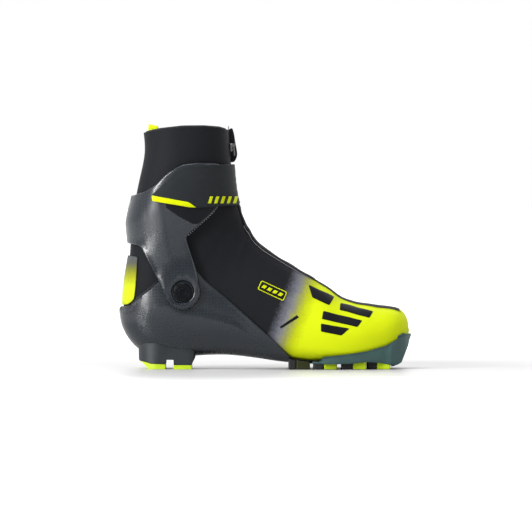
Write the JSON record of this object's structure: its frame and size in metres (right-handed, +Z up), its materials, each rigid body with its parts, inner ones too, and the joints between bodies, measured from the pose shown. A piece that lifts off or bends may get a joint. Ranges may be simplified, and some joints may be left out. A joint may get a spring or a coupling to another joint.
{
  "type": "cross country boot",
  "caption": "Right cross country skating boot: carbon chassis and hinged cuff, softshell upper with front zip, shin strap, and a grooved sole with a toe bar for a binding.",
  "frame": {"origin": "on the ground, under the middle of the boot's length and width", "axes": "+X to the toe, +Z up, +Y to the inner (medial) side of a right foot"},
  "size_m": [0.2916, 0.1035, 0.2445],
  "materials": {
    "carbon": "glossy carbon laminate",
    "softshell": "matt woven softshell",
    "lime_rubber": "satin",
    "lining_foam": "knitted lining over foam",
    "board": "fibre board",
    "footbed": "felt over foam",
    "tongue_foam": "knitted cover over foam",
    "zip_teeth": "moulded coil",
    "zip_tape": "woven tape",
    "zip_metal": "satin",
    "eyestay": "bonded film",
    "guide_plastic": "moulded",
    "lace_cord": "braided",
    "button_plastic": "moulded",
    "spring_steel": "bright",
    "steel": "satin",
    "bush_plastic": "self-lubricating plastic",
    "bolt_dark": "black satin",
    "strap_fabric": "coated webbing",
    "lime_trim": "welded film",
    "hook_loop": "hook and loop",
    "lime_fabric": "woven webbing",
    "sole_rubber": "slate blue rubber",
    "black_rubber": "matt"
  },
  "bodies": {
    "boot": {"carbon_chassis": "carbon", "upper_foot": "softshell", "upper_ankle": "softshell", "heel_patch": "lime_rubber", "lining_foot": "lining_foam", "lining_ankle": "lining_foam", "lasting_board": "board", "footbed": "footbed", "tongue_foot": "tongue_foam", "tongue_ankle": "tongue_foam", "zip_chain_foot": "zip_teeth", "zip_chain_ankle": "zip_teeth", "zip_tape_foot": "zip_tape", "zip_tape_ankle": "zip_tape", "eyestay_lateral": "eyestay", "eyestay_medial": "eyestay", "lace_guides": "guide_plastic", "lace": "lace_cord", "lace_lock": "guide_plastic", "lace_lock_spring": "spring_steel", "pivot_tnuts": "steel", "pivot_washers": "bush_plastic", "pivot_bolts": "bolt_dark", "outsole_forefoot": "sole_rubber", "toe_bar": "steel", "forefoot_lugs": "black_rubber", "forefoot_inserts": "lime_rubber", "heel_block": "sole_rubber", "heel_tread_rear": "lime_rubber", "heel_tread_front": "lime_rubber"},
    "cuff": {"upper_shaft": "softshell", "lining_shaft": "lining_foam", "tongue_shaft": "tongue_foam", "zip_chain_shaft": "zip_teeth", "zip_tape_shaft": "zip_tape", "zip_flap": "softshell", "pivot_bushes": "bush_plastic", "cuff_shell": "carbon", "cuff_loop_patch": "hook_loop", "strap_anchor_plate": "strap_fabric", "strap_rivets": "steel", "pull_loop": "lime_fabric"},
    "strap": {"strap_band": "strap_fabric", "strap_trim": "lime_trim", "strap_hook_patch": "hook_loop"},
    "zip_slider": {"zip_slider": "zip_metal"},
    "zip_pull": {"zip_pull": "zip_metal"},
    "lace_button": {"lace_lock_button": "button_plastic"}
  },
  "joints": [
    {"name": "cuff_hinge", "type": "hinge", "parent": "boot", "child": "cuff", "pos_m": [-0.0821, 0, 0.0769], "axis": [0, 1, 0], "range_deg": [-5, 20], "deforming": ["upper_ankle", "lining_ankle", "tongue_ankle", "zip_chain_ankle", "zip_tape_ankle"]},
    {"name": "strap_hinge", "type": "hinge", "parent": "cuff", "child": "strap", "pos_m": [-0.07, 0.0505, 0.183], "axis": [0, 0, 1], "range_deg": [0, 95]},
    {"name": "zip_slide", "type": "slide", "parent": "cuff", "child": "zip_slider", "axis": [-0.0635, 0, 0.998], "range_m": [-0.006, 0.014]},
    {"name": "zip_pull_hinge", "type": "hinge", "parent": "zip_slider", "child": "zip_pull", "pos_m": [-0.03152, 0, 0.22422], "axis": [0, -1, 0], "range_deg": [0, 150]},
    {"name": "lace_lock_press", "type": "slide", "parent": "boot", "child": "lace_button", "axis": [0.8552, 0, -0.5183], "range_m": [0, 0.002], "stiffness_N_per_m": 600, "deforming": ["lace_lock_spring"]}
  ]
}
